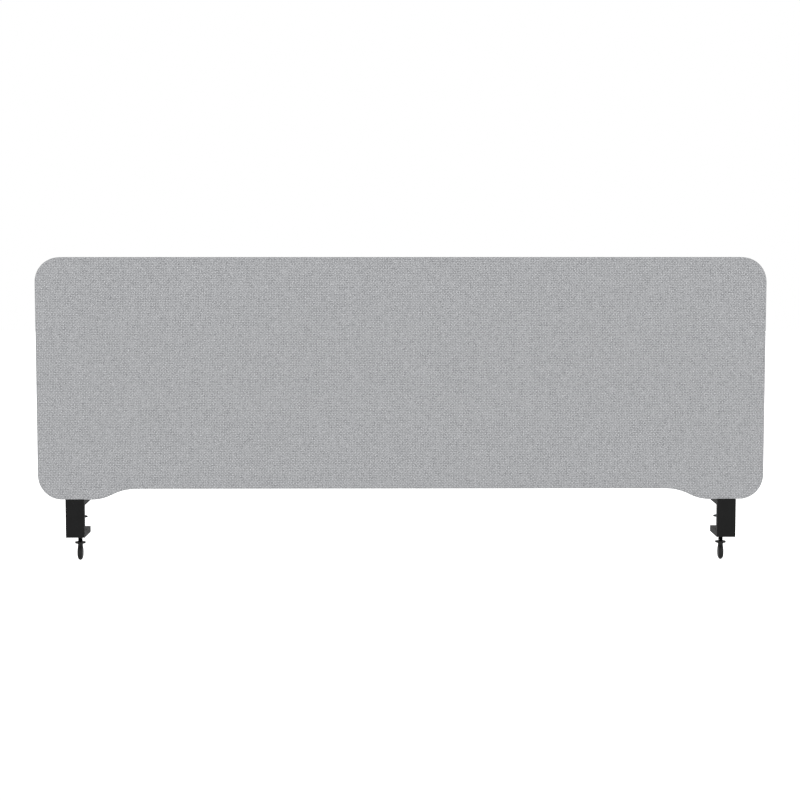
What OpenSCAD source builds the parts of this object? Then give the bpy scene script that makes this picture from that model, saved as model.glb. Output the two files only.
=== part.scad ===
// Desk privacy panel: a padded, fabric-covered screen that stands on two
// screw clamps and grips the edge of a desk top.
//
// Frame: millimetres, +X along the desk edge, +Y away from the edge and over
// the desk, +Z up. The origin is where the desk top's upper edge seats: midway
// along the panel, on the faces of the upper jaws, at the inner face of the webs.

/* [Panel] */
// Width of the panel from side to side
panel_w = 1200; // [800:10:1800]
// Height of the panel from its feet to its top edge
panel_h = 400; // [250:10:600]
// Thickness of the panel, cover to cover
panel_t = 30; // [28:1:44]
// Radius of the four corners, seen from the front
corner_r = 40; // [20:1:80]

/* [Feet and cable gap] */
// Rise of the bottom edge between the two feet
gap_rise = 18; // [10:1:40]
// Length of each foot, from the panel's side to where its curve starts
foot_l = 88; // [82:1:140]
// Length of each S curve, from the foot to the raised edge
curve_l = 73.5; // [60:0.5:90]
// Radius of the curve that leaves the foot
foot_curve_r = 70; // [45:1:80]

/* [Upholstery] */
// Thickness of the woven cover
fabric_t = 1; // [0.5:0.1:1.5]
// Thickness of the foam on each face of the board
foam_t = 5; // [3:0.5:7]

/* [Clamp bracket] */
// Width of the bracket along the desk edge
bracket_w = 31; // [28:1:45]
// Height of the bracket, outside
bracket_h = 64; // [58:1:90]
// Depth of the bracket, outside
bracket_d = 67; // [62:1:100]
// Thickness of the web in front of the desk edge
web_t = 9; // [6:0.5:12]
// Thickness of the two arms
arm_t = 10; // [8:0.5:14]
// Distance from the panel's side to the bracket
bracket_inset = 44; // [42:1:50]
// Radius of the bracket's outer corners
nose_r = 1.5; // [0.5:0.5:4]
// Radius in the two corners of the mouth
mouth_r = 3; // [1:0.5:5]

/* [Jaw pad] */
// Thickness of the rubber strip under the upper arm
jaw_pad_t = 1.5; // [1:0.25:3]
// Depth of the groove that the strip lies in
jaw_groove = 1; // [0.5:0.25:2]
// Length of the strip, from the web towards the arm's tip
jaw_pad_l = 50; // [40:1:54]

/* [Clamp screw] */
// Outer diameter of the screw's thread
screw_d = 8; // [7:1:10]
// Distance from the web's inner face to the screw's axis
screw_reach = 43; // [36:1:44]
// Gap between the jaws as drawn, which is the desk top's thickness
jaw_gap = 24; // [12:1:33]
// Free length of screw between the lower arm and the handle, as drawn
screw_free_l = 14.5; // [6:0.5:22]
// Radial clearance of the screw in the lower arm
thread_play = 0.05; // [0.02:0.01:0.1]

/* [Swivel pad] */
// Diameter of the swivel pad
shoe_d = 26; // [22:1:30]
// Thickness of the swivel pad's plate
shoe_t = 1.6; // [1.2:0.1:3]
// Thickness of the rubber on the swivel pad
shoe_rubber_t = 1.2; // [0.8:0.1:2.5]
// Diameter of the screw's ball end
ball_d = 7; // [6:0.5:8]
// Clearance of the ball in its socket
ball_play = 0.05; // [0.02:0.01:0.1]

/* [Handle] */
// Diameter of the handle's flange
flange_d = 17.5; // [14:0.5:24]
// Thickness of the handle's flange
flange_t = 2; // [1.5:0.25:4]
// Diameter of the handle's neck
neck_d = 8.2; // [7:0.1:10]
// Width of the handle's paddle
paddle_w = 20; // [14:1:30]
// Thickness of the handle's paddle
paddle_t = 9.5; // [6:0.1:12]
// Height of the paddle's belly, which is round both ways
belly_h = 24; // [18:1:26]
// Length of the handle below its flange
paddle_l = 28.5; // [26:0.5:40]

/* [Panel fixings] */
// Diameter of the two screws that hold the panel on each bracket
fixing_d = 5; // [4:1:6]
// Length of those screws
fixing_l = 20; // [16:1:22]
// Distance between the two screws
fixing_pitch = 16; // [13:1:18]
// Outer diameter of the threaded inserts in the board
insert_d = 8; // [7:0.5:10]
// Length of the threaded inserts
insert_l = 12; // [8:1:16]

/* [Hidden] */

$fn = 64;
eps = 0.01;
far = 10;                      // how far a cutter runs past what it cuts
fit = 0.05;                    // clearance between pieces that are assembled once

// Heights
jaw_z = jaw_pad_t - jaw_groove;          // underside of the upper arm
foot_z = jaw_z + arm_t;                  // top of the bracket, where the panel stands
bracket_z = foot_z - bracket_h;          // bottom of the bracket
low_arm_z = bracket_z + arm_t;           // top of the lower arm

// Panel
front_y = -web_t;                        // the panel's front is flush with the bracket's
mid_y = front_y + panel_t / 2;
core_t = panel_t - 2 * (fabric_t + foam_t);
foot_x = panel_w / 2 - foot_l;           // where the foot's curve starts
gap_x = foot_x - curve_l;                // end of the raised edge
gap_turn = 2 * atan(gap_rise / curve_l); // steepest angle of the S curve
gap_curve_r = (curve_l ^ 2 + gap_rise ^ 2) / (2 * gap_rise) - foot_curve_r;
foot_curve_z = foot_z + foot_curve_r;    // centre of the foot's curve
gap_curve_z = foot_z + gap_rise - gap_curve_r;                  // centre of the upper curve
corner_x = panel_w / 2 - corner_r;       // centre of the corners' curves

// Clamps
clamp_x = panel_w / 2 - bracket_inset - bracket_w / 2;
jaw_pad_y = mouth_r + 1;                 // where the strip starts, clear of the mouth's corner
lead_in = 0.8;                           // chamfer at both ends of the tapped hole
socket_wall = 3.5;
socket_d = ball_d + 2 * socket_wall;
socket_floor = 0.8;                      // steel over the ball
socket_drop = 2.4;                       // from the ball's centre to the socket's lip
socket_cone_h = 1;                       // cone at the lip
socket_cone_d = socket_d - 3;
shoe_recess = shoe_t / 2;                // depth of the seat for the rubber
shoe_rim = 1;                            // width of steel round the rubber
shoe_z = -jaw_gap - shoe_rubber_t + shoe_recess;                // top of the steel plate
ball_z = shoe_z - shoe_recess - socket_floor - ball_d / 2 - ball_play;
socket_z = ball_z - socket_drop;         // bottom of the socket
screw_neck_d = 4.4;
neck_play = 0.4;                         // lets the pad lean a little on the ball
screw_neck_l = 2;                        // from the socket's lip to the thread
thread_chamfer = 1;
rod_z = socket_z - screw_neck_l;         // top of the threaded rod
flange_z = bracket_z - screw_free_l;     // top of the handle's flange
spigot_d = 4.5;                          // knurled end inside the handle
spigot_l = 16;
spigot_seat = 1;                         // how far the rod itself enters the flange
neck_h = 3;                              // height of the round neck under the flange
head_d = 2 * fixing_d;                   // 90 degree countersunk head
head_land = 0.3;
head_z = jaw_z + jaw_groove;             // head's face, at the groove's floor
hex_d = 0.66 * fixing_d;                 // key's hexagon, corner to corner
hex_depth = 0.5 * fixing_d;
arm_hole_d = fixing_d + 0.5;             // clearance hole in the upper arm
cover_hole_d = fixing_d + 1;             // hole in the cover's lower edge

// ---------------------------------------------------------------- helpers

// Length to a thousandth, so that two pieces that share it meet exactly.
function thousandth(length) = round(1000 * length) / 1000;

// Rectangle from corner a to corner b with true round corners.
module round_rect(a, b, r) {
    translate([a[0] + r, a[1]]) square([b[0] - a[0] - 2 * r, b[1] - a[1]]);
    translate([a[0], a[1] + r]) square([b[0] - a[0], b[1] - a[1] - 2 * r]);
    for (x = [a[0] + r, b[0] - r], y = [a[1] + r, b[1] - r])
        translate([x, y]) circle(r = r);
}

// Rectangle from corner a to corner b.
module rect(a, b) {
    translate(a) square(b - a);
}

// The panel seen from the front, drawn in X and Z, with its edge moved in by d.
// Its columns stand side by side, so that each curve ends where the next line starts.
module panel_outline(d = 0) {
    low = foot_z + d;
    top = foot_z + panel_h - d;
    join_x = thousandth(gap_x + (gap_curve_r + d) * sin(gap_turn));
    for (side = [0, 1]) mirror([side, 0]) {
        rect([0, low + gap_rise], [gap_x, top]);
        difference() {
            rect([gap_x, low], [join_x, top]);
            translate([gap_x, gap_curve_z]) circle(r = gap_curve_r + d);
        }
        intersection() {
            rect([join_x, low - far], [foot_x, foot_curve_z]);
            translate([foot_x, foot_curve_z]) circle(r = foot_curve_r - d);
        }
        rect([join_x, foot_curve_z], [foot_x, top]);
        rect([foot_x, low], [corner_x, top]);
        rect([corner_x, foot_z + corner_r], [panel_w / 2 - d, foot_z + panel_h - corner_r]);
        for (z = [foot_z + corner_r, foot_z + panel_h - corner_r])
            translate([corner_x, z]) circle(r = corner_r - d);
    }
}

// Stands what lies drawn in X and Y upright, with its upper face at t turned to the front at y.
module upright(y, t) {
    translate([0, y + t, 0]) rotate([90, 0, 0]) children();
}

module mirror_about_mid_y() {
    translate([0, 2 * mid_y, 0]) mirror([0, 1, 0]) children();
}

// ------------------------------------------------------------------ panel

module fixing_places(side) {
    for (x = [-fixing_pitch / 2, fixing_pitch / 2])
        translate([side * clamp_x + x, mid_y, 0]) children();
}

module core_board() {
    color("burlywood") difference() {
        upright(mid_y - core_t / 2, core_t) linear_extrude(core_t) panel_outline(fabric_t);
        for (side = [-1, 1]) fixing_places(side)
            translate([0, 0, foot_z + fabric_t - eps])
                cylinder(d = insert_d + 2 * fit, h = insert_l + fabric_t);
    }
}

module foam_front() {
    color("khaki") upright(front_y + fabric_t, foam_t)
        linear_extrude(foam_t) panel_outline(fabric_t);
}

module foam_rear() {
    color("khaki") mirror_about_mid_y() foam_front();
}

module cover_front() {
    color("darkgray") difference() {
        upright(front_y, panel_t / 2) {
            linear_extrude(panel_t / 2) difference() {
                panel_outline();
                panel_outline(fabric_t);
            }
            translate([0, 0, panel_t / 2 - fabric_t]) linear_extrude(fabric_t) panel_outline();
        }
        for (side = [-1, 1]) fixing_places(side)
            translate([0, 0, foot_z - far]) cylinder(d = cover_hole_d, h = 2 * far);
    }
}

module cover_rear() {
    color("darkgray") mirror_about_mid_y() cover_front();
}

// ----------------------------------------------------------------- clamps

module inserts(side) {
    color("goldenrod") fixing_places(side) translate([0, 0, foot_z + fabric_t]) difference() {
        cylinder(d = insert_d, h = insert_l);
        translate([0, 0, -eps]) cylinder(d = fixing_d + 2 * fit, h = insert_l + 2 * eps);
    }
}

module bracket_profile() {
    difference() {
        round_rect([-web_t, bracket_z], [bracket_d - web_t, foot_z], nose_r);
        round_rect([0, low_arm_z], [bracket_d + far, jaw_z], mouth_r);
        rect([jaw_pad_y - fit, jaw_z - eps], [jaw_pad_y + jaw_pad_l + fit, jaw_z + jaw_groove]);
    }
}

module bracket(side) {
    hole_d = screw_d + 2 * thread_play;
    color([0.12, 0.12, 0.13]) difference() {
        translate([side * clamp_x - bracket_w / 2, 0, 0])
            rotate([90, 0, 90]) linear_extrude(bracket_w) bracket_profile();
        fixing_places(side) translate([0, 0, head_z]) {
            translate([0, 0, -eps]) cylinder(d = arm_hole_d, h = arm_t + far);
            translate([0, 0, -far]) cylinder(d = head_d + 2 * fit, h = far + head_land + fit);
            translate([0, 0, head_land + fit])
                cylinder(d1 = head_d + 2 * fit, d2 = 0, h = head_d / 2 + fit);
        }
        translate([side * clamp_x, screw_reach, bracket_z]) {
            translate([0, 0, -far]) cylinder(d = hole_d, h = arm_t + 2 * far);
            for (end = [0, 1]) translate([0, 0, end * arm_t]) mirror([0, 0, end])
                translate([0, 0, -eps]) cylinder(d1 = hole_d + 2 * lead_in, d2 = hole_d, h = lead_in);
        }
    }
}

module fixing_screws(side) {
    color("silver") fixing_places(side) translate([0, 0, head_z]) difference() {
        union() {
            cylinder(d = head_d, h = head_land);
            translate([0, 0, head_land])
                cylinder(d1 = head_d, d2 = fixing_d, h = (head_d - fixing_d) / 2);
            cylinder(d = fixing_d, h = fixing_l);
        }
        translate([0, 0, -eps]) cylinder(d = hex_d, h = hex_depth, $fn = 6);
    }
}

module jaw_pad(side) {
    color([0.2, 0.2, 0.2])
        translate([side * clamp_x - bracket_w / 2, jaw_pad_y, 0])
            cube([bracket_w, jaw_pad_l, jaw_pad_t]);
}

module swivel_pad(side) {
    color([0.2, 0.2, 0.21]) translate([side * clamp_x, screw_reach, 0]) difference() {
        union() {
            translate([0, 0, shoe_z - shoe_t]) cylinder(d = shoe_d, h = shoe_t);
            translate([0, 0, socket_z + socket_cone_h])
                cylinder(d = socket_d, h = shoe_z - shoe_t / 2 - socket_z - socket_cone_h);
            translate([0, 0, socket_z])
                cylinder(d1 = socket_cone_d, d2 = socket_d, h = socket_cone_h);
        }
        translate([0, 0, shoe_z - shoe_recess])
            cylinder(d = shoe_d - 2 * shoe_rim, h = shoe_t);
        translate([0, 0, ball_z]) sphere(d = ball_d + 2 * ball_play);
        translate([0, 0, socket_z - eps]) cylinder(d = screw_neck_d + 2 * neck_play, h = socket_drop);
    }
}

module swivel_rubber(side) {
    color([0.2, 0.2, 0.2]) translate([side * clamp_x, screw_reach, -jaw_gap - shoe_rubber_t])
        cylinder(d = shoe_d - 2 * shoe_rim - 2 * fit, h = shoe_rubber_t);
}

module clamp_screw(side) {
    seat_z = flange_z - spigot_seat;
    color([0.2, 0.2, 0.21]) translate([side * clamp_x, screw_reach, 0]) {
        translate([0, 0, ball_z]) sphere(d = ball_d);
        translate([0, 0, rod_z - eps]) cylinder(d = screw_neck_d, h = ball_z - rod_z);
        translate([0, 0, rod_z - thread_chamfer])
            cylinder(d1 = screw_d, d2 = screw_d - 2 * thread_chamfer, h = thread_chamfer);
        translate([0, 0, seat_z]) cylinder(d = screw_d, h = rod_z - thread_chamfer - seat_z);
        translate([0, 0, seat_z - spigot_l]) cylinder(d = spigot_d, h = spigot_l + eps);
    }
}

module handle(side) {
    rim_r = flange_t / 2;
    color([0.1, 0.1, 0.1]) translate([side * clamp_x, screw_reach, flange_z]) difference() {
        union() {
            translate([0, 0, -flange_t]) cylinder(d = flange_d - 2 * rim_r, h = flange_t);
            translate([0, 0, -rim_r]) rotate_extrude() translate([flange_d / 2 - rim_r, 0]) circle(r = rim_r);
            hull() {
                translate([0, 0, -flange_t - neck_h]) cylinder(d = neck_d, h = neck_h + eps, $fn = 32);
                translate([0, 0, -flange_t - paddle_l + belly_h / 2])
                    scale([paddle_t, paddle_w, belly_h]) sphere(d = 1, $fn = 48);
            }
        }
        translate([0, 0, -spigot_seat]) cylinder(d = screw_d, h = far);
        translate([0, 0, -spigot_seat - spigot_l]) cylinder(d = spigot_d, h = spigot_l + eps);
    }
}

// ------------------------------------------------------------------ nodes

module left_inserts() inserts(-1);
module left_bracket() bracket(-1);
module left_fixing_screws() fixing_screws(-1);
module left_jaw_pad() jaw_pad(-1);
module left_swivel_pad() swivel_pad(-1);
module left_swivel_rubber() swivel_rubber(-1);
module left_clamp_screw() clamp_screw(-1);
module left_handle() handle(-1);
module right_inserts() inserts(1);
module right_bracket() bracket(1);
module right_fixing_screws() fixing_screws(1);
module right_jaw_pad() jaw_pad(1);
module right_swivel_pad() swivel_pad(1);
module right_swivel_rubber() swivel_rubber(1);
module right_clamp_screw() clamp_screw(1);
module right_handle() handle(1);

core_board();
foam_front();
foam_rear();
cover_front();
cover_rear();
left_inserts();
left_bracket();
left_fixing_screws();
left_jaw_pad();
left_swivel_pad();
left_swivel_rubber();
left_clamp_screw();
left_handle();
right_inserts();
right_bracket();
right_fixing_screws();
right_jaw_pad();
right_swivel_pad();
right_swivel_rubber();
right_clamp_screw();
right_handle();
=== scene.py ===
# %% [markdown]
# # A desk privacy panel on two screw clamps
#
# The panel is a board with thin foam on both faces and a woven cover. Two black
# clamps carry it on the edge of a desk. The CAD model already holds every piece in
# its true place and size, so this script only adds what a designer sees and touches:
# cloth, coating, rubber, thread and light. It starts by loading that model as a fixed
# frame. Everything is in metres and in the frame's own axes: X runs along the desk
# edge, Y goes over the desk, and Z goes up.

# %% Load the fixed frame
import math
from functools import partial

import bmesh
import bpy
import numpy as np
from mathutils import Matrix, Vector


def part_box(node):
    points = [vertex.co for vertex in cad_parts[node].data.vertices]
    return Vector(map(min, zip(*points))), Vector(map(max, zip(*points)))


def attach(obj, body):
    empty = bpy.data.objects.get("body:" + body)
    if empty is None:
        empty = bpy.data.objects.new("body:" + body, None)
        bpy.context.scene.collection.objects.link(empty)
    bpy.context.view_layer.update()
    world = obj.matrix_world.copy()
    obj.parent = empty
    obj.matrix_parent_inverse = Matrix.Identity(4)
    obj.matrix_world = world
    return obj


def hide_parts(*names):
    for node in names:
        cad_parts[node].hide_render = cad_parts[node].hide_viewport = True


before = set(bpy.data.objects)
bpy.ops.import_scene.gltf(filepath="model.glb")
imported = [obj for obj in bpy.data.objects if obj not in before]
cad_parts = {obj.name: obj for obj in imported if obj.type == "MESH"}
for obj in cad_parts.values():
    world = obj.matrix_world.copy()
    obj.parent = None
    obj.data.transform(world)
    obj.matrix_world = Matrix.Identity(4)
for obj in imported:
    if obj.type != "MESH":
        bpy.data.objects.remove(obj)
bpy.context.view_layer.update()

# %% [markdown]
# ## Small helpers
#
# Shader colours are linear, but people choose colours as sRGB hex values, so one
# function turns one into the other. A node tree gets long when every node takes five
# lines, so one small function adds any node, its settings and its links in one go.
# The others put an object into the scene, make one from points and faces, and shade
# a mesh smooth.

# %% Helpers for colours, nodes and meshes
MM = 0.001


def linear(hex_colour):
    """The linear colour of an sRGB hex value, with full alpha."""
    shares = [int(hex_colour[i:i + 2], 16) / 255 for i in (1, 3, 5)]
    return [s / 12.92 if s <= 0.04045 else ((s + 0.055) / 1.055) ** 2.4 for s in shares] + [1.0]


def add_node(tree, kind, inputs=None, **settings):
    """A new node. Inputs are values, sockets, or nodes, which stand for their first output."""
    node = tree.nodes.new(kind)
    for name, value in settings.items():
        setattr(node, name, value)
    for name, value in (inputs or {}).items():
        if isinstance(value, bpy.types.Node):
            value = value.outputs[0]
        if isinstance(value, bpy.types.NodeSocket):
            tree.links.new(value, node.inputs[name])
        else:
            node.inputs[name].default_value = value
    return node


def add_object(name, data):
    """An object at the origin with this data, in the scene."""
    made = bpy.data.objects.new(name, data)
    bpy.context.scene.collection.objects.link(made)
    return made


def mesh_object(name, points, faces):
    """An object at the origin whose mesh has these points and faces."""
    mesh = bpy.data.meshes.new(name)
    mesh.from_pydata([tuple(p) for p in points], [], faces)
    mesh.validate()
    return add_object(name, mesh)


def shade_smooth(mesh):
    """Marks every face of a mesh as smooth."""
    mesh.polygons.foreach_set("use_smooth", [True] * len(mesh.polygons))


print("mid grey as linear light:", round(linear("#808080")[0], 3))

# %% [markdown]
# ## Helpers for materials
#
# Every material here starts as a Principled BSDF and ends the same way, with a colour
# between two and a bump for what is too fine to model. What comes between is the
# finish itself, so each material adds those nodes one by one. Its noise lies in the
# coordinates of the piece, and stays in place on a piece that moves. A noise of scale 1
# has about one bump in a metre, so one over the real width of a bump is its scale.
# Lathe rings and moulded ribs are the same even waves, along another axis and with
# another pitch.

# %% Helpers for materials
MATH, MIX, NOISE = "ShaderNodeMath", "ShaderNodeMix", "ShaderNodeTexNoise"


def new_material(name, roughness, metallic=0.0, **shader_inputs):
    """A material with a Principled BSDF, and its tree and shader for what comes next."""
    material = bpy.data.materials.new(name)
    material.use_nodes = True
    tree = material.node_tree
    shader = tree.nodes["Principled BSDF"]
    shader.inputs["Roughness"].default_value = roughness
    shader.inputs["Metallic"].default_value = metallic
    for name, value in shader_inputs.items():
        shader.inputs[name.replace("_", " ")].default_value = value
    return material, tree, shader


def ripples(tree, place, axis, pitch):
    """Even waves along one axis of a piece, one for each pitch, from -1 to 1."""
    along = add_node(tree, "ShaderNodeSeparateXYZ", {0: place}).outputs[axis]
    turns = add_node(tree, MATH, {0: along, 1: 2 * math.pi / pitch}, operation="MULTIPLY")
    return add_node(tree, MATH, {0: turns}, operation="SINE")


def add_roughness(tree, shader, share, low, high):
    """Lets a shader's roughness vary between two values, by a share."""
    varied = add_node(tree, "ShaderNodeMapRange", {"Value": share, "To Min": low, "To Max": high})
    tree.links.new(varied.outputs[0], shader.inputs["Roughness"])


def dress(tree, shader, share, colours, height, depth, strength):
    """Gives a shader a colour between two hex values, and a bump of this height and depth."""
    first, second = map(linear, colours)
    # inputs 6 and 7 of a Mix node, and its output 2, are the ones for colours
    colour = add_node(tree, MIX, {0: share, 6: first, 7: second}, data_type="RGBA").outputs[2]
    bump = add_node(tree, "ShaderNodeBump",
                    {"Height": height, "Distance": depth, "Strength": strength})
    tree.links.new(colour, shader.inputs["Base Color"])
    tree.links.new(bump.outputs[0], shader.inputs["Normal"])


print("materials so far:", len(bpy.data.materials))

# %% [markdown]
# ## The woven cover's material
#
# The cover is a plain weave of thick polyester yarn in a grey melange: each yarn
# crosses over one and under the next. It could be an image, but a rule says it better:
# the UV map holds real metres of cloth, so dividing it by the thread spacing gives the
# number of the yarn and the place across it. A little noise on that place lets the
# yarns wander off their lines, as real ones do. Each crossing is a low dome that sinks
# at both ends, and some stand higher than others. Light and shade are painted into the
# colour: each dome is painted light on top and dark at its sides, most on the high
# crossings, and painted shade darkens the hole where four of them meet. Most of the
# melange comes from light and dark streaks of fibre that run along a yarn and lean with
# its twist, and the rest of the grey from the yarn and the crossing; crossings where the
# weft lies on top are a little lighter.
# Cloth has no clear gloss, only a soft sheen from its loose fibres.

# %% Sizes of the weave
WARP_PITCH = 2.72 * MM            # from one upright yarn to the next
WEFT_PITCH = 2.85 * MM            # from one level yarn to the next
YARN_HEIGHT = 0.5 * MM            # how far a crossing stands above the pit beside it
MELANGE_DARK, MELANGE_LIGHT = "#7F8083", "#D1D2D4"
WANDER, WANDER_RATE = 0.4, 0.35   # how far yarns stray, in yarns, and how often per yarn
DIP, DIP_POWER = 0.5, 2.5         # how deep a crossing sinks at its ends, and how late
HOLE_SHADE, HOLE_POWER = 0.5, 4.0       # how dark the painted shade in the holes between crossings is, and how small the holes are
STREAKS, STREAK_RATE = 5.0, 1.6   # fibre streaks across a yarn, and along it per crossing
TWIST = 0.8                       # how far the streaks lean as they run along
SLUB_RATE = 0.22                  # thick places in the yarns, for each yarn
MEAN_CROWN = 0.673                # the mean height of a crossing, from 0 to 1
PAINTED_SHADING_BASE = 1.032               # base of the painted shading; it makes up for what the painted shade in the holes takes from the mean grey
LEAST_PAINTED_SHADING, MOST_PAINTED_SHADING = 0.1, 1.34  # limits of the painted shading, dark and light, on a yarn's grey
SHADE_CONTRAST = -0.3, 1.6              # painted shade contrast of the lowest and of the highest crossing
WEFT_SHADE_CONTRAST = 0.6, 1.4          # what that is multiplied by where the warp or the weft shows
LOWEST, FIBRE_HEIGHT = 0.6, 0.2   # height of the lowest crossing and of a fibre, as a share
YARN_SHIFT = 7.3, 3.7             # sets the streaks of each yarn apart from the next one's
WARP_SEED, WEFT_SEED = 5.0, 77.0  # places in the noise, far from each other
WEFT_START = 500.0                # number of the first weft yarn, so none is also a warp's
print("threads in a metre of cloth:", round(1 / WARP_PITCH), "by", round(1 / WEFT_PITCH))


# %% The parts of the rule
def noise(tree, x, y):
    """Smooth noise on a plane, about one bump per unit, from 0 to 1."""
    place = add_node(tree, "ShaderNodeCombineXYZ", {0: x, 1: y})
    return add_node(tree, NOISE, {"Vector": place, "Scale": 1.0, "Detail": 1.0},
                    noise_dimensions="2D")


def off_centre(tree, share):
    """How far a place from 0 to 1 lies from the middle: 0 there, and 1 at both sides."""
    signed = add_node(tree, MATH, {0: share, 1: 2.0, 2: -1.0}, operation="MULTIPLY_ADD")
    return add_node(tree, MATH, {0: signed}, operation="ABSOLUTE")


def yarn_place(tree, along, across, seed):
    """The place across the yarns, counted in yarns, with the slight wander of real ones."""
    x = add_node(tree, MATH, {0: along, 1: WANDER_RATE, 2: seed}, operation="MULTIPLY_ADD")
    y = add_node(tree, MATH, {0: across, 1: WANDER_RATE}, operation="MULTIPLY")
    sway = noise(tree, x, y)
    return add_node(tree, MATH, {0: sway, 1: WANDER, 2: across}, operation="MULTIPLY_ADD")


def fibre_streaks(tree, across, travel, yarn_number):
    """Streaks of fibre that run along each yarn and lean with its twist."""
    shift_x, shift_y = [add_node(tree, MATH, {0: yarn_number, 1: size}, operation="MULTIPLY")
                        for size in YARN_SHIFT]
    lean = add_node(tree, MATH, {0: travel, 1: TWIST, 2: shift_x}, operation="MULTIPLY_ADD")
    x = add_node(tree, MATH, {0: across, 1: STREAKS, 2: lean}, operation="MULTIPLY_ADD")
    y = add_node(tree, MATH, {0: travel, 1: STREAK_RATE, 2: shift_y}, operation="MULTIPLY_ADD")
    return noise(tree, x, y)


print("yarns stray by up to", round(WANDER / 2 * WARP_PITCH / MM, 2), "mm to each side")


# %% The weave as a rule on the UV map
def woven_fabric():
    """Plain weave in grey melange with painted shade on its crossings, for a UV map in metres of
    cloth.
    """
    material, tree, shader = new_material(
        "woven_polyester_melange", 0.85, Sheen_Weight=0.15, Sheen_Roughness=0.5,
        Specular_IOR_Level=0.25)
    node = partial(add_node, tree)
    cloth = node("ShaderNodeTexCoord").outputs["UV"]
    place = node("ShaderNodeSeparateXYZ", {0: cloth}).outputs
    straight_warp = node(MATH, {0: place["X"], 1: WARP_PITCH}, operation="DIVIDE")
    straight_weft = node(MATH, {0: place["Y"], 1: WEFT_PITCH}, operation="DIVIDE")
    warp = yarn_place(tree, straight_weft, straight_warp, WARP_SEED)
    weft = yarn_place(tree, straight_warp, straight_weft, WEFT_SEED)
    warp_number, weft_number = [node(MATH, {0: yarn}, operation="FLOOR") for yarn in (warp, weft)]
    across_warp, across_weft = [node(MATH, {0: yarn}, operation="FRACT") for yarn in (warp, weft)]
    number_sum = node(MATH, {0: warp_number, 1: weft_number}, operation="ADD")
    weft_on_top = node(MATH, {0: number_sum, 1: 2.0}, operation="FLOORED_MODULO")

    # the yarn on top: the place across it, to its next dip, along it, and its number
    # (a Mix node's inputs 2 and 3 are the ones for plain numbers)
    across = node(MIX, {0: weft_on_top, 2: across_warp, 3: across_weft})
    end = node(MIX, {0: weft_on_top, 2: across_weft, 3: across_warp})
    travel = node(MIX, {0: weft_on_top, 2: weft, 3: warp})
    weft_count = node(MATH, {0: weft_number, 1: WEFT_START}, operation="ADD")
    yarn_number = node(MIX, {0: weft_on_top, 2: warp_number, 3: weft_count})

    # the dome of a crossing, and the mask of the painted shade in the hole at its corners
    side, tip = off_centre(tree, across), off_centre(tree, end)
    side_squared = node(MATH, {0: side, 1: side}, operation="MULTIPLY")
    under_arc = node(MATH, {0: 1.0, 1: side_squared}, operation="SUBTRACT")
    dome = node(MATH, {0: under_arc}, operation="SQRT")
    sinking = node(MATH, {0: tip, 1: DIP_POWER}, operation="POWER")
    dip = node(MATH, {0: sinking, 1: -DIP, 2: 1.0}, operation="MULTIPLY_ADD")
    crown = node(MATH, {0: dome, 1: dip}, operation="MULTIPLY")
    to_corner = node(MATH, {0: side, 1: tip}, operation="MULTIPLY")
    hole_shade_mask = node(MATH, {0: to_corner, 1: HOLE_POWER}, operation="POWER")

    # chance values for each crossing and each yarn, and the noise of the fibres
    crossing = node("ShaderNodeCombineXYZ", {0: warp_number, 1: weft_number})
    stitch = node("ShaderNodeTexWhiteNoise", {"Vector": crossing}, noise_dimensions="2D").outputs
    stitch_height = node("ShaderNodeSeparateColor", {0: stitch["Color"]}).outputs["Green"]
    yarn_shade = node("ShaderNodeTexWhiteNoise", {"W": yarn_number}, noise_dimensions="1D")
    slub = noise(tree, *[node(MATH, {0: yarn, 1: SLUB_RATE}, operation="MULTIPLY")
                         for yarn in (warp, weft)])
    fibre = fibre_streaks(tree, across, travel, yarn_number)

    # how far each of them moves the shade between the dark and the light grey; the negative share
    # of stitch_height darkens high crossings and so tempers their painted highlight
    parts = ((yarn_shade, 0.05), (stitch["Value"], 0.04), (stitch_height, -0.16), (slub, 0.03),
             (fibre, 2.6), (weft_on_top, 0.14))
    shade = 0.5 - 0.5 * sum(weight for _, weight in parts)
    for part, weight in parts:
        shade = node(MATH, {0: part, 1: weight, 2: shade}, operation="MULTIPLY_ADD")
    yarn = node(MIX, {0: shade, 6: linear(MELANGE_DARK), 7: linear(MELANGE_LIGHT)},
                data_type="RGBA").outputs[2]

    # painted light and shade: high crossings are painted light on top and dark at their sides,
    # low ones nearly even
    own_contrast = node(MIX, {0: stitch_height, 2: SHADE_CONTRAST[0], 3: SHADE_CONTRAST[1]})
    way_contrast = node(MIX, {0: weft_on_top, 2: WEFT_SHADE_CONTRAST[0], 3: WEFT_SHADE_CONTRAST[1]})
    contrast = node(MATH, {0: own_contrast, 1: way_contrast}, operation="MULTIPLY")
    painted_shading = node(MATH, {0: crown, 1: MEAN_CROWN}, operation="SUBTRACT")
    painted_shading = node(MATH, {0: painted_shading, 1: contrast, 2: PAINTED_SHADING_BASE}, operation="MULTIPLY_ADD")
    # painted shade darkens the holes between crossings
    painted_shading = node(MATH, {0: hole_shade_mask, 1: -HOLE_SHADE, 2: painted_shading}, operation="MULTIPLY_ADD")
    painted_shading = node(MATH, {0: painted_shading, 1: LEAST_PAINTED_SHADING}, operation="MAXIMUM")
    painted_shading = node(MATH, {0: painted_shading, 1: MOST_PAINTED_SHADING}, operation="MINIMUM")
    # the yarn's grey times the painted light and shade
    colour = node("ShaderNodeVectorMath", {0: yarn, "Scale": painted_shading}, operation="SCALE")
    tree.links.new(colour.outputs[0], shader.inputs["Base Color"])

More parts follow.
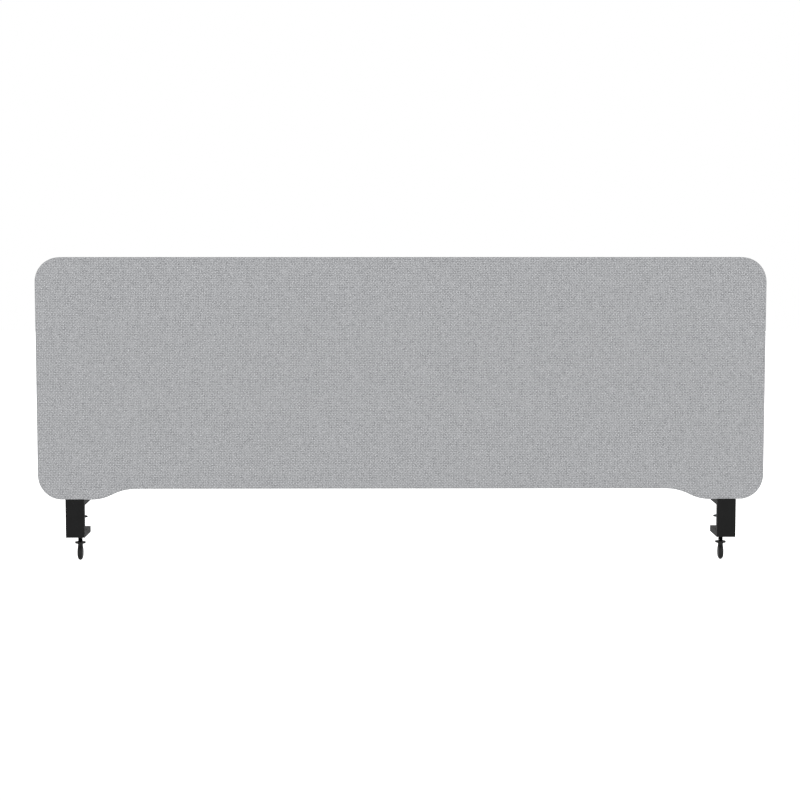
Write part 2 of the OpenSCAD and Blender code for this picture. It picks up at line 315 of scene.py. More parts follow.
    # the bump: each crossing's own height, with fine fibres on it
    share = node(MIX, {0: stitch_height, 2: LOWEST, 3: 1.0})
    height = node(MATH, {0: crown, 1: share}, operation="MULTIPLY")
    fuzz = node(MATH, {0: fibre, 1: FIBRE_HEIGHT, 2: height}, operation="MULTIPLY_ADD")
    bump = node("ShaderNodeBump", {"Height": fuzz, "Distance": YARN_HEIGHT, "Strength": 0.6})
    tree.links.new(bump.outputs[0], shader.inputs["Normal"])
    return material


fabric = woven_fabric()
print("nodes in the weave:", len(fabric.node_tree.nodes))

# %% [markdown]
# ## The outline of the panel
#
# Seen from the front, the panel has round corners, two feet, and an edge between the
# feet that is raised by two S curves for cables. Its place comes from the CAD cover,
# and the padding pushes its edges out by half a millimetre more, though not where the
# panel stands on its brackets. Here the outline is a row of columns, each with a lower
# and an upper end. The same columns can be asked for with the edge moved in, and then
# point follows point, so rings at several insets join into a round edge without any
# search.

# %% Sizes of the outline
low_corner, high_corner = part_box("cover_front")
PANEL_HALF = high_corner.x + 0.8 * MM    # the padding is thickest on the upright edges
PANEL_LOW, PANEL_TOP = low_corner.z, high_corner.z
FRONT_Y, SEAM_Y = low_corner.y, high_corner.y
CORNER_R = 40 * MM
FOOT_X = high_corner.x - 88 * MM         # where a foot's curve starts
GAP_X = FOOT_X - 73.5 * MM               # where the raised edge starts
GAP_RISE = 18 * MM
FOOT_CURVE_R = 70 * MM
GAP_CURVE_R = ((FOOT_X - GAP_X) ** 2 + GAP_RISE ** 2) / (2 * GAP_RISE) - FOOT_CURVE_R
GAP_TURN = 2 * math.atan(GAP_RISE / (FOOT_X - GAP_X))
PROUD = 0.5 * MM                         # the padding pushes the edges out this far
BRACKET_MARGIN = 8 * MM                  # the panel stays flat this far beside a bracket
BRACKET_X = (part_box("right_bracket")[0].x - BRACKET_MARGIN,
             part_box("right_bracket")[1].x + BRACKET_MARGIN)
GAP_STEPS, CURVE_STEPS, FOOT_STEPS, CORNER_STEPS = 32, 6, 4, 12
ROWS = 40
row_share = 0.5 - 0.5 * np.cos(np.pi * np.arange(ROWS + 1) / ROWS)   # finer near both edges


def columns(inset):
    """X, lower Z and upper Z of each column, from the left side to the right."""
    right = [(x, GAP_RISE + inset, 0) for x in np.linspace(0, GAP_X, GAP_STEPS + 1)[:-1]]
    for angle in np.linspace(0, GAP_TURN, CURVE_STEPS + 1)[:-1]:
        radius = GAP_CURVE_R + inset
        right.append((GAP_X + radius * math.sin(angle),
                      GAP_RISE - GAP_CURVE_R + radius * math.cos(angle), 0))
    for angle in np.linspace(GAP_TURN, 0, CURVE_STEPS + 1)[:-1]:
        radius = FOOT_CURVE_R - inset
        right.append((FOOT_X - radius * math.sin(angle),
                      FOOT_CURVE_R - radius * math.cos(angle), 0))
    right += [(x, inset, 0)
              for x in np.linspace(FOOT_X, PANEL_HALF - CORNER_R, FOOT_STEPS + 1)[:-1]]
    for angle in np.linspace(0, math.pi / 2, CORNER_STEPS + 1):
        radius = CORNER_R - inset
        rise = CORNER_R - radius * math.cos(angle)
        right.append((PANEL_HALF - CORNER_R + radius * math.sin(angle), rise, rise - inset))
    both = [(-x, low, drop) for x, low, drop in right[:0:-1]] + right
    x, low, drop = np.array(both).T
    pressed = (abs(x) > BRACKET_X[0]) & (abs(x) < BRACKET_X[1])
    low[pressed] = np.maximum(low[pressed], 0)
    return x, PANEL_LOW + low, PANEL_TOP - inset - drop


print("columns:", len(columns(0)[0]), "rows:", ROWS + 1)

# %% [markdown]
# ## The padded cover
#
# Each half of the cover is one stretched cloth: a face, a round edge of 3 mm where
# it wraps over the foam, a flat band along the side, and a small roll where it turns
# into the seam in the middle of the side. The mesh follows that path: a grid of
# columns and rows for the face, and then one ring after another. The UV map lays the
# cloth flat again. A point on the side keeps the place of its nearest face point and
# moves out along the edge's normal by the cloth's length, so the weave runs round
# the edge as it does on a real panel.

# %% Rings from the face to the seam
EDGE_R = 3 * MM
SEAM_R = 1.0 * MM
SEAM_GAP = 0.01 * MM                     # between each half and the middle of the seam
EDGE_STEPS, SEAM_STEPS = 5, 4
BAND_SHARES = (0.25, 0.6, 1.0)           # where the flat band has its rings


def wrap_profile():
    """Inset, depth from the face and length of cloth for each ring, the face's rim first."""
    rings = [(EDGE_R * (1 - math.sin(a)) - PROUD, EDGE_R * (1 - math.cos(a)), EDGE_R * a)
             for a in np.linspace(0, math.pi / 2, EDGE_STEPS + 1)]
    seam_start = SEAM_Y - FRONT_Y - SEAM_R - SEAM_GAP
    band = seam_start - EDGE_R
    length = rings[-1][2]
    rings += [(-PROUD, EDGE_R + band * share, length + band * share) for share in BAND_SHARES]
    length += band
    rings += [(SEAM_R * (1 - math.cos(a)) - PROUD, seam_start + SEAM_R * math.sin(a),
               length + SEAM_R * a) for a in np.linspace(0, math.pi / 2, SEAM_STEPS + 1)[1:]]
    return rings


def rim_points(inset):
    """The outline as a closed loop: along the bottom, up, back over the top, and down."""
    x, low, top = columns(inset)
    right = [(x[-1], low[-1] + (top[-1] - low[-1]) * s) for s in row_share[1:-1]]
    left = [(x[0], low[0] + (top[0] - low[0]) * s) for s in row_share[-2:0:-1]]
    return np.array(list(zip(x, low)) + right + list(zip(x, top))[::-1] + left)


profile = wrap_profile()
print("rings:", len(profile), "cloth from face to seam:", round(profile[-1][2] / MM, 1), "mm")

# %% One half of the cover as a mesh
ROLL_SHIFT = (0.0731, 0.0417)            # the rear half is cut from another part of the roll


def cover_half(name, rear=False):
    """One half of the cover and the number of points in its face. The rear one is mirrored."""
    x, low, top = columns(EDGE_R - PROUD)
    grid = [(x[i], low[i] + (top[i] - low[i]) * s) for i in range(len(x)) for s in row_share]
    points = [(px, FRONT_Y, pz) for px, pz in grid]
    cloth = list(grid)
    number = np.arange(len(grid)).reshape(len(x), ROWS + 1)
    corners = (number[:-1, :-1], number[1:, :-1], number[1:, 1:], number[:-1, 1:])
    faces = np.stack(corners, axis=-1).reshape(-1, 4).tolist()
    ring = [*number[:, 0], *number[-1, 1:-1], *number[::-1, -1], *number[0, -2:0:-1]]
    start = rim_points(EDGE_R - PROUD)
    outward = rim_points(-PROUD) - start
    outward /= np.linalg.norm(outward, axis=1)[:, None]
    for inset, depth, length in profile[1:]:
        base = len(points)
        points += [(px, FRONT_Y + depth, pz) for px, pz in rim_points(inset)]
        cloth += [tuple(p) for p in start + outward * length]
        following = range(base, base + len(ring))
        for k, here in enumerate(ring):
            after = (k + 1) % len(ring)
            faces.append((here, following[k], following[after], ring[after]))
        ring = following
    if rear:
        points = [(px, 2 * SEAM_Y - py, pz) for px, py, pz in points]
        faces = [face[::-1] for face in faces]
        cloth = [(ROLL_SHIFT[0] - u, v + ROLL_SHIFT[1]) for u, v in cloth]
    half = mesh_object(name, points, faces)
    uv = half.data.uv_layers.new(name="cloth")
    for loop in half.data.loops:
        uv.data[loop.index].uv = cloth[loop.vertex_index]
    shade_smooth(half.data)
    return half, len(grid)


cover_front, face_count = cover_half("cover_front_cloth")
cover_rear, _ = cover_half("cover_rear_cloth", rear=True)
print("points in one half:", len(cover_front.data.vertices))

# %% [markdown]
# ## Stretching the cloth over the foam
#
# Foam pushes a stretched cover out, most of all away from the edges where the cloth
# is pulled down. One could sculpt that swell, or displace it by a formula. Blender's
# Cloth finds it by itself: the rim and the sides are pinned, a little pressure stands
# for the foam, gravity is off, and twenty frames let it settle. A real face swells by
# about a millimetre, so every point's move is limited to that, with a soft limit that
# leaves no crease.

# %% A short cloth run
SWELL = 1.0 * MM
SETTLE_FRAMES = 20
CLOTH_SETTINGS = {"quality": 5, "mass": 0.3, "tension_stiffness": 30,
                  "compression_stiffness": 30, "shear_stiffness": 10, "bending_stiffness": 2,
                  "use_pressure": True, "uniform_pressure_force": 4}


def read_points(mesh):
    """A mesh's points as rows of three."""
    flat = np.zeros(len(mesh.vertices) * 3)
    mesh.vertices.foreach_get("co", flat)
    return flat.reshape(-1, 3)


def rim_of_face(half, held_from):
    """The points on the edges that join the face to its first ring."""
    ends = [edge.vertices[:] for edge in half.data.edges]
    return {point for pair in ends if min(pair) < held_from <= max(pair) for point in pair}


def stretch_over_foam(half, held_from):
    """Lets pressure push the face out, while every point from held_from on stays in place."""
    scene = bpy.context.scene
    held = half.vertex_groups.new(name="held")
    beyond = set(range(held_from, len(half.data.vertices)))
    held.add(sorted(rim_of_face(half, held_from) | beyond), 1.0, "REPLACE")
    cloth = half.modifiers.new("stretch", "CLOTH")
    for setting, value in CLOTH_SETTINGS.items():
        setattr(cloth.settings, setting, value)
    cloth.settings.vertex_group_mass = held.name
    cloth.settings.effector_weights.gravity = 0
    cloth.collision_settings.use_collision = False
    cloth.point_cache.frame_start, cloth.point_cache.frame_end = 1, SETTLE_FRAMES
    for number in range(1, SETTLE_FRAMES + 1):
        scene.frame_set(number)
    evaluated = half.evaluated_get(bpy.context.evaluated_depsgraph_get())
    flat, moved = read_points(half.data), read_points(evaluated.to_mesh())
    evaluated.to_mesh_clear()
    half.modifiers.remove(cloth)
    move = moved - flat
    size = np.linalg.norm(move, axis=1)[:, None] + 1e-12
    limited = flat + move / size * SWELL * np.tanh(size / SWELL)
    half.data.vertices.foreach_set("co", limited.ravel())
    half.data.update()
    scene.frame_set(1)
    print(f"{half.name} swelled by {np.abs(move[:, 1]).max() / MM:.2f} mm before the limit")


for half in (cover_front, cover_rear):
    stretch_over_foam(half, face_count)

# %% [markdown]
# ## Thickness and finish of the cover
#
# The mesh is still a skin without thickness, and a skin has no inside for a
# designer's program to work with. One level of subdivision rounds the last facets, and
# Solidify gives the skin the cloth's thickness inwards. Both are plain modifiers with
# the same level in the view and in the render.

# %% Give the cloth its thickness
CLOTH_T = 0.85 * MM


def baked(piece):
    """Turns a piece's modifiers into a plain mesh."""
    depsgraph = bpy.context.evaluated_depsgraph_get()
    mesh = bpy.data.meshes.new_from_object(piece.evaluated_get(depsgraph), depsgraph=depsgraph)
    piece.modifiers.clear()
    piece.data = mesh
    mesh.name = piece.name
    return piece


for half in (cover_front, cover_rear):
    rounding = half.modifiers.new("rounding", "SUBSURF")
    rounding.levels = rounding.render_levels = 1
    rounding.boundary_smooth = "PRESERVE_CORNERS"
    wall = half.modifiers.new("cloth", "SOLIDIFY")
    wall.thickness = CLOTH_T
    wall.offset = -1
    baked(half)
    half.data.materials.clear()
    half.data.materials.append(fabric)
    half.vertex_groups.clear()
    print(half.name, "faces:", len(half.data.polygons))

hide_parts("cover_front")
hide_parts("cover_rear")
for half in (cover_front, cover_rear):
    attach(half, "root")

# %% [markdown]
# ## Stitches that close the seam
#
# The two halves meet in a narrow groove along the side. It is closed by a ladder
# stitch: short bars of thread that cross the groove at a slight slant, hundreds of
# them. Nobody places those by hand. Geometry Nodes take the groove's line as a curve,
# put a point on it every few millimetres and set one small bar of thread on each
# point. The tree has named inputs, so the spacing or the slant can be changed later.
# It ends with Realize Instances, because instances are lost in an export.

# %% A node group for stitches
STITCH_PITCH = 5.0 * MM
STITCH_LENGTH = 2.0 * MM
STITCH_SLANT, SLANT_WOBBLE = 0.35, 0.08  # radians
THREAD_T = 0.45 * MM
BAR_SEGMENTS, BAR_RINGS = 8, 5


def node_group(name, inputs):
    """A geometry node tree with a geometry input and output and these named inputs."""
    tree = bpy.data.node_groups.new(name, "GeometryNodeTree")
    for way in ("OUTPUT", "INPUT"):
        tree.interface.new_socket("Geometry", in_out=way, socket_type="NodeSocketGeometry")
    for socket_name, kind in inputs:
        tree.interface.new_socket(socket_name, in_out="INPUT", socket_type="NodeSocket" + kind)
    return tree, add_node(tree, "NodeGroupInput").outputs


def close_tree(tree, geometry, material):
    """Ends a tree: instances made real, the material set, and the result sent out."""
    real = add_node(tree, "GeometryNodeRealizeInstances", {0: geometry})
    dressed = add_node(tree, "GeometryNodeSetMaterial", {"Geometry": real, "Material": material})
    add_node(tree, "NodeGroupOutput", {0: dressed})


def run_tree(piece, tree, **values):
    """Adds the tree to a piece, sets its named inputs, and bakes the result."""
    modifier = piece.modifiers.new(tree.name, "NODES")
    modifier.node_group = tree
    sockets = {i.name: i.identifier for i in tree.interface.items_tree if i.in_out == "INPUT"}
    for name, value in values.items():
        modifier[sockets[name.replace("_", " ")]] = value
    return baked(piece)


def stitch_tree():
    """Bars of thread along a line of edges, each turned a little across it."""
    tree, given = node_group("ladder_stitch", [
        ("Pitch", "Float"), ("Length", "Float"), ("Thickness", "Float"), ("Slant", "Float"),
        ("Seed", "Int"), ("Thread", "Material")])
    line = add_node(tree, "GeometryNodeMeshToCurve", {0: given["Geometry"]})
    places = add_node(tree, "GeometryNodeCurveToPoints", {0: line, "Length": given["Pitch"]},
                      mode="LENGTH").outputs
    bar = add_node(tree, "GeometryNodeMeshUVSphere", {
        "Segments": BAR_SEGMENTS, "Rings": BAR_RINGS, "Radius": 0.5})
    facing = add_node(tree, "FunctionNodeAlignRotationToVector",
                      {"Vector": places["Tangent"]}, axis="X", pivot_axis="Y")
    wobble = add_node(tree, "FunctionNodeRandomValue",
                      {2: -SLANT_WOBBLE, 3: SLANT_WOBBLE, "Seed": given["Seed"]},
                      data_type="FLOAT").outputs[1]
    slant = add_node(tree, MATH, {0: given["Slant"], 1: wobble}, operation="ADD")
    lean = add_node(tree, "ShaderNodeCombineXYZ", {2: slant})
    lean = add_node(tree, "FunctionNodeEulerToRotation", {0: lean})
    turned = add_node(tree, "FunctionNodeRotateRotation", {0: facing, 1: lean},
                      rotation_space="LOCAL")
    size = add_node(tree, "ShaderNodeCombineXYZ", {
        0: given["Thickness"], 1: given["Length"], 2: given["Thickness"]})
    bars = add_node(tree, "GeometryNodeInstanceOnPoints", {
        "Points": places["Points"], "Instance": bar, "Rotation": turned, "Scale": size})
    close_tree(tree, bars, given["Thread"])
    return tree


def input_names(tree):
    """The names of a tree's inputs."""
    return [i.name for i in tree.interface.items_tree if i.in_out == "INPUT"]


ladder_stitch = stitch_tree()
print("inputs of the stitch tree:", input_names(ladder_stitch))


# %% Sew the seam
PLY_PITCH = 0.403 * MM
WAVE_PITCH = 0.2 * math.pi / 3 ** 0.5    # between the bands of a diagonal Wave of scale 1
GROOVE_DEPTH = 0.1 * MM


def sewing_thread():
    """Bonded polyester thread: two plies with a silky gloss."""
    material, tree, shader = new_material("bonded_sewing_thread", 0.5, Sheen_Weight=0.2)
    place = add_node(tree, "ShaderNodeTexCoord").outputs["Object"]
    ply = add_node(tree, "ShaderNodeTexWave",
                   {"Vector": place, "Scale": WAVE_PITCH / PLY_PITCH, "Distortion": 1.0},
                   bands_direction="DIAGONAL").outputs["Fac"]
    dress(tree, shader, ply, ("#8E8F92", "#B4B5B8"), ply, 0.05 * MM, 0.5)
    return material


seam_line = [(x, SEAM_Y, z) for x, z in rim_points(GROOVE_DEPTH - PROUD)]
seam = bpy.data.meshes.new("seam_stitches")
seam.from_pydata(seam_line, [(i, (i + 1) % len(seam_line)) for i in range(len(seam_line))], [])
stitches = add_object("seam_stitches", seam)
run_tree(stitches, ladder_stitch, Pitch=STITCH_PITCH, Length=STITCH_LENGTH, Thickness=THREAD_T,
         Slant=STITCH_SLANT, Seed=7, Thread=sewing_thread())
shade_smooth(stitches.data)
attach(stitches, "root")
print("stitches:", len(stitches.data.polygons) // (BAR_SEGMENTS * BAR_RINGS))

# %% [markdown]
# ## The clamps' coating, plastic and rubber
#
# The brackets are steel with a black powder coat. Powder melts into a skin with a
# fine orange peel, so the surface is dark, even and half matt, with a little bump
# about a millimetre wide. The handles are moulded plastic, a little smoother. The
# strips and discs that touch the desk are rubber, with no gloss to speak of.

# %% Powder coat, moulded plastic and rubber
PEEL, CLOUD = 10 / 9 * MM, 50 / 3 * MM   # width of the orange peel and of faint clouds in it
MOULD_GRAIN = 5 / 9 * MM
DUST = 10 / 3 * MM                       # width of the marks that dust leaves on rubber
RIB_PITCH = 1.6 * MM


def powder_coat():
    """Fine-texture black powder coat: even, half matt, with orange peel."""
    material, tree, shader = new_material("powder_coated_steel", 0.65, Specular_IOR_Level=0.12)
    place = add_node(tree, "ShaderNodeTexCoord").outputs["Object"]
    peel = add_node(tree, NOISE, {"Vector": place, "Scale": 1 / PEEL, "Detail": 2.0})
    cloud = add_node(tree, NOISE, {"Vector": place, "Scale": 1 / CLOUD, "Detail": 3.0})
    add_roughness(tree, shader, peel, 0.58, 0.74)
    dress(tree, shader, cloud, ("#131313", "#1A1A1A"), peel, 0.04 * MM, 0.5)
    return material


def moulded_plastic():
    """Glass-filled nylon from a lightly eroded mould: black, with a soft gloss."""
    material, tree, shader = new_material("moulded_nylon", 0.45, Specular_IOR_Level=0.2)
    place = add_node(tree, "ShaderNodeTexCoord").outputs["Object"]
    grain = add_node(tree, NOISE, {"Vector": place, "Scale": 1 / MOULD_GRAIN, "Detail": 1.0})
    dress(tree, shader, grain, ("#111111", "#171717"), grain, 0.02 * MM, 0.5)
    return material


def ribbed_rubber():
    """Black rubber with fine moulded ribs along X."""
    material, tree, shader = new_material("nitrile_rubber", 0.75)
    place = add_node(tree, "ShaderNodeTexCoord").outputs["Object"]
    rib = ripples(tree, place, "Y", RIB_PITCH)
    dust = add_node(tree, NOISE, {"Vector": place, "Scale": 1 / DUST, "Detail": 3.0})
    dress(tree, shader, dust, ("#1A1A1A", "#262626"), rib, 0.2 * MM, 0.6)
    return material


coat, plastic, rubber = powder_coat(), moulded_plastic(), ribbed_rubber()
print("clamp materials:", coat.name, plastic.name, rubber.name)

# %% [markdown]
# ## Plated steel and brass
#
# The rods and the swivel pads are steel with a black zinc plating, the hidden fixing
# screws have the usual clear zinc, and the inserts in the board are brass. All are
# metals: the colour belongs to the reflection, the IOR stays at its default, and what
# tells them apart is tint and roughness. Black plating reflects little even at a
# grazing angle, where a bare metal turns white, so it has a dark tint there too.
# Turned parts also carry faint rings from the lathe, a few tenths of a millimetre
# apart.

# %% Metals
TOOL_RING_PITCH = 0.3 * MM
PLATING_CLOUD = 4.0 * MM


def plated_metal(name, colours, roughness, edge="#FFFFFF"):
    """A turned and plated metal. Its edge is the tint at a grazing angle."""
    material, tree, shader = new_material(name, roughness, metallic=1.0,
                                          Specular_Tint=linear(edge))
    place = add_node(tree, "ShaderNodeTexCoord").outputs["Object"]
    cloud = add_node(tree, NOISE, {"Vector": place, "Scale": 1 / PLATING_CLOUD, "Detail": 3.0})
    ring = ripples(tree, place, "Z", TOOL_RING_PITCH)
    add_roughness(tree, shader, cloud, roughness - 0.06, roughness + 0.08)
    dress(tree, shader, cloud, colours, ring, 0.01 * MM, 0.3)
    return material


black_zinc = plated_metal("black_zinc_plated_steel", ("#1E1E20", "#2C2C2F"), 0.48,
                          edge="#606060")
clear_zinc = plated_metal("clear_zinc_plated_steel", ("#A9ABAE", "#C3C5C8"), 0.3)
brass = plated_metal("turned_brass", ("#A5864B", "#C0A063"), 0.28)
print("metals:", black_zinc.name, clear_zinc.name, brass.name)

# %% [markdown]
# ## What the cover hides
#
# Board and foam can't be seen, but a designer may open the panel, so they get their
# own finish too: compressed wood fibre with a speckle, and open foam with pores.
# These nodes keep their CAD shape. Only their material slots change.

# %% Fibreboard and foam, and the nodes that keep their CAD shape
PATCH = 40.0 * MM                        # width of the patches where the grain is denser


def speckled(name, colours, grain_size, roughness):
    """A dull material with a grain of this size, for board and foam."""
    material, tree, shader = new_material(name, roughness, Specular_IOR_Level=0.2)
    place = add_node(tree, "ShaderNodeTexCoord").outputs["Object"]
    grain = add_node(tree, "ShaderNodeTexVoronoi", {"Vector": place, "Scale": 1 / grain_size})
    patch = add_node(tree, NOISE, {"Vector": place, "Scale": 1 / PATCH, "Detail": 4.0})
    share = add_node(tree, MATH, {0: grain, 1: patch}, operation="MULTIPLY")
    dress(tree, shader, share, colours, grain, 0.3 * grain_size, 0.4)
    return material


def give(node_name, material):
    """Puts a material on every slot of a CAD node that stays as it is."""
    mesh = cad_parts[node_name].data
    for slot in range(len(mesh.materials)):
        mesh.materials[slot] = material
    if not mesh.materials:
        mesh.materials.append(material)


give("core_board", speckled("fibreboard", ("#B08A5C", "#7A5A38"), 1.2 * MM, 0.8))
foam = speckled("polyurethane_foam", ("#EFE9CE", "#C9C19A"), 0.9 * MM, 0.95)
for name in ("foam_front", "foam_rear"):
    give(name, foam)
for side in ("left", "right"):
    give(side + "_inserts", brass)
    give(side + "_fixing_screws", clear_zinc)
print("nodes that keep their CAD shape: board, foam, inserts, fixing screws")

# %% [markdown]
# ## Brackets, pads and rubber with soft edges
#
# No made thing has a perfectly sharp edge. A coated bracket has a small radius that
# catches the light, and without it a render looks like a drawing. The CAD shape is
# right, so the piece starts as a copy of it: loose triangles are merged, flat faces
# are joined again, and a Bevel rounds every sharp edge. Weighted normals keep the
# large faces flat to the eye.

# %% Copies of CAD nodes with softened edges
SAME_POINT = 0.002 * MM                  # points nearer than this are one
FLAT_ANGLE, SHARP_ANGLE = math.radians(0.5), math.radians(32)


def softened(node_name, name, radius, material, body):
    """A copy of a CAD node with its sharp edges rounded, in its place."""
    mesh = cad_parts[node_name].data.copy()
    work = bmesh.new()
    work.from_mesh(mesh)
    bmesh.ops.remove_doubles(work, verts=work.verts, dist=SAME_POINT)
    bmesh.ops.dissolve_limit(work, angle_limit=FLAT_ANGLE, verts=work.verts, edges=work.edges)
    work.to_mesh(mesh)
    work.free()
    if "custom_normal" in mesh.attributes:
        mesh.attributes.remove(mesh.attributes["custom_normal"])
    mesh.materials.clear()
    mesh.materials.append(material)
    shade_smooth(mesh)
    piece = add_object(name, mesh)
    edge = piece.modifiers.new("edge", "BEVEL")
    edge.width = radius
    edge.segments = 2
    edge.limit_method = "ANGLE"
    edge.angle_limit = SHARP_ANGLE
    piece.modifiers.new("flat", "WEIGHTED_NORMAL").keep_sharp = False
    baked(piece)
    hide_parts(node_name)
    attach(piece, body)
    print(name, "faces:", len(piece.data.polygons))


for side in ("left", "right"):
    softened(side + "_bracket", side + "_bracket_coated", 0.5 * MM, coat,
             "root")
    softened(side + "_jaw_pad", side + "_jaw_pad_ribbed", 0.3 * MM, rubber,
             "root")
    softened(side + "_swivel_pad", side + "_swivel_pad_turned", 0.2 * MM, black_zinc,
             side + "_pad")
    softened(side + "_swivel_rubber", side + "_swivel_rubber_disc", 0.2 * MM, rubber,
             side + "_pad")

# %% [markdown]
# ## The clamp screws
#
# Each clamp screw is an M8 rod with a pitch of 1.25 mm, and a ball on its tip that
# sits in the swivel pad. The rod itself is turned on a lathe, so its mesh is a row of
# circles with a skin over them. The thread is a rule: a ridge that follows a helix. In
# Geometry Nodes a Spiral with one turn per pitch is the helix, a small diamond is the
# ridge's section, and Curve to Mesh sweeps it. The ridge fades out at both ends, as a
# cut thread does.

# %% Level sections and the skin over them
SEGMENTS = 48                            # points in each section


def section(centre, half_x, half_y, z, squareness=2.0):
    """A level ring of points: an ellipse, or flatter at its sides with more squareness."""
    ring = []
    for k in range(SEGMENTS):
        c, s = math.cos(2 * math.pi * k / SEGMENTS), math.sin(2 * math.pi * k / SEGMENTS)
        spread = (abs(c) ** squareness + abs(s) ** squareness) ** (-1 / squareness)
        ring.append((centre[0] + half_x * spread * c, centre[1] + half_y * spread * s, z))
    return ring


def lofted(name, centre, top, sections, bottom):
    """A closed piece over sections, the highest first, with a point on the axis at each end."""
    rings, points = [], []
    for ring in [[(*centre, top)], *sections, [(*centre, bottom)]]:
        rings.append(range(len(points), len(points) + len(ring)))
        points += ring
    faces = []
    for above, below in zip(rings, rings[1:]):
        for k in range(SEGMENTS):
            after = (k + 1) % SEGMENTS
            quad = (above[k % len(above)], below[k % len(below)],
                    below[after % len(below)], above[after % len(above)])
            faces.append(tuple(dict.fromkeys(quad)))
    return mesh_object(name, points, faces)


print("points in a section:", len(section((0, 0), 1, 1, 0)))


# %% A node group for a screw thread
THREAD_PITCH = 1.25 * MM
CORE_R = 3.42 * MM                       # the rod under the thread
RIDGE_HALF_WIDTH = 0.68 * MM             # half the width of the ridge at its foot
RIDGE_FLATNESS = 0.8                     # the ridge's height as a share of that
THREAD_FADE = 12 * MM                    # length of helix over which each end fades out


def thread_tree():
    """A ridge on a helix, joined to the rod that the tree is given."""
    tree, given = node_group("screw_thread", [
        ("Start", "Vector"), ("Length", "Float"), ("Pitch", "Float"), ("Core", "Float"),
        ("Half Width", "Float"), ("Metal", "Material")])
    turns = add_node(tree, MATH, {0: given["Length"], 1: given["Pitch"]}, operation="DIVIDE")
    helix = add_node(tree, "GeometryNodeCurveSpiral", {
        "Resolution": 40, "Rotations": turns, "Start Radius": given["Core"],
        "End Radius": given["Core"], "Height": given["Length"], "Reverse": True})
    helix = add_node(tree, "GeometryNodeSetCurveNormal", {0: helix}, mode="Z_UP")
    way = add_node(tree, "GeometryNodeSplineParameter").outputs["Length"]
    whole = add_node(tree, "GeometryNodeSplineLength").outputs["Length"]
    way_back = add_node(tree, MATH, {0: whole, 1: way}, operation="SUBTRACT")
    nearest = add_node(tree, MATH, {0: way, 1: way_back}, operation="MINIMUM")
    fade = add_node(tree, "ShaderNodeMapRange",
                    {"Value": nearest, "From Max": THREAD_FADE, "To Min": 0.05, "To Max": 1.0})
    helix = add_node(tree, "GeometryNodeSetCurveRadius", {"Curve": helix, "Radius": fade})
    ridge = add_node(tree, "GeometryNodeCurvePrimitiveCircle",
                     {"Resolution": 4, "Radius": given["Half Width"]}, mode="RADIUS")
    ridge = add_node(tree, "GeometryNodeTransform",
                     {"Geometry": ridge, "Scale": (RIDGE_FLATNESS, 1.0, 1.0)})
    swept = add_node(tree, "GeometryNodeCurveToMesh",
                     {"Curve": helix, "Profile Curve": ridge, "Fill Caps": True})
    placed = add_node(tree, "GeometryNodeTransform",
                      {"Geometry": swept, "Translation": given["Start"]})
    joined = add_node(tree, "GeometryNodeJoinGeometry", {0: placed})
    tree.links.new(given["Geometry"], joined.inputs[0])
    close_tree(tree, joined, given["Metal"])
    return tree


screw_thread = thread_tree()
print("inputs of the thread tree:", input_names(screw_thread))

# %% Turn the rods and cut their threads
BALL_R = 3.5 * MM
NECK_R = 2.2 * MM
NECK_L = 4.4 * MM                        # from the ball's centre down to the rod
CHAMFER, CHAMFER_IN = 1.0 * MM, 0.3 * MM  # along the rod, and inwards
ROD_IN_HANDLE = 12 * MM
THREAD_BELOW_FLANGE, THREAD_BELOW_END = 0.8 * MM, 0.6 * MM
BALL_RINGS = 13


def axis_of(low, high):
    """X and Y of the upright axis through the middle of a box."""
    return (low.x + high.x) / 2, (low.y + high.y) / 2


def clamp_screw(side):
    """One threaded rod with its ball, in place of the CAD screw."""
    low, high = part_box(side + "_clamp_screw")
    axis = axis_of(low, high)
    flange_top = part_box(side + "_handle")[1].z
    ball_z = high.z - BALL_R
    rod_low, rod_top = flange_top - ROD_IN_HANDLE, ball_z - NECK_L
    profile = [(CORE_R, rod_low), (CORE_R, rod_top - CHAMFER), (CORE_R - CHAMFER_IN, rod_top),
               (NECK_R, rod_top)]
    profile += [(BALL_R * math.sin(a), ball_z - BALL_R * math.cos(a))
                for a in np.linspace(math.asin(NECK_R / BALL_R), math.pi, BALL_RINGS + 1)[:-1]]
    circles = [section(axis, radius, radius, z) for radius, z in reversed(profile)]
    rod = lofted(side + "_clamp_screw_threaded", axis, ball_z + BALL_R, circles, rod_low)
    shade_smooth(rod.data)
    start = flange_top - THREAD_BELOW_FLANGE
    run_tree(rod, screw_thread, Start=(axis[0], axis[1], start),
             Length=rod_top - THREAD_BELOW_END - start, Pitch=THREAD_PITCH, Core=CORE_R,
             Half_Width=RIDGE_HALF_WIDTH, Metal=black_zinc)
    rod.data.set_sharp_from_angle(angle=math.radians(40))
    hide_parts(side + "_clamp_screw")
    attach(rod, side + "_screw")
    reach = max(math.hypot(v.co.x - axis[0], v.co.y - axis[1]) for v in rod.data.vertices)
    print(rod.name, "faces:", len(rod.data.polygons),
          "thread:", round(2 * reach / MM, 2), "mm across")


for side in ("left", "right"):
    clamp_screw(side)

# %% [markdown]
# ## The handles
#
# A handle is one moulding: a round flange, a short neck, and a thick paddle with a
# round belly that two fingers turn. A revolve can't make the paddle and a box with
# subdivision needs much pushing, but a loft follows it well: a section at each height,
# with its own width and thickness, and a smooth curve through the few heights that
# were chosen. The sections are circles at the flange and the neck. Further down they
# turn into superellipses, between an ellipse and a rounded rectangle, which give the
# paddle its flat sides.

# %% Sections of the handle, in mm below the top of the CAD flange
FLANGE_TOP, FLANGE_R, FLANGE_T = -0.4, 9.0, 3.1
FLANGE_EDGE_R = 0.5
NECK_FILLET = [(0.05, 5.2), (0.2, 4.7)]  # depth under the flange, radius
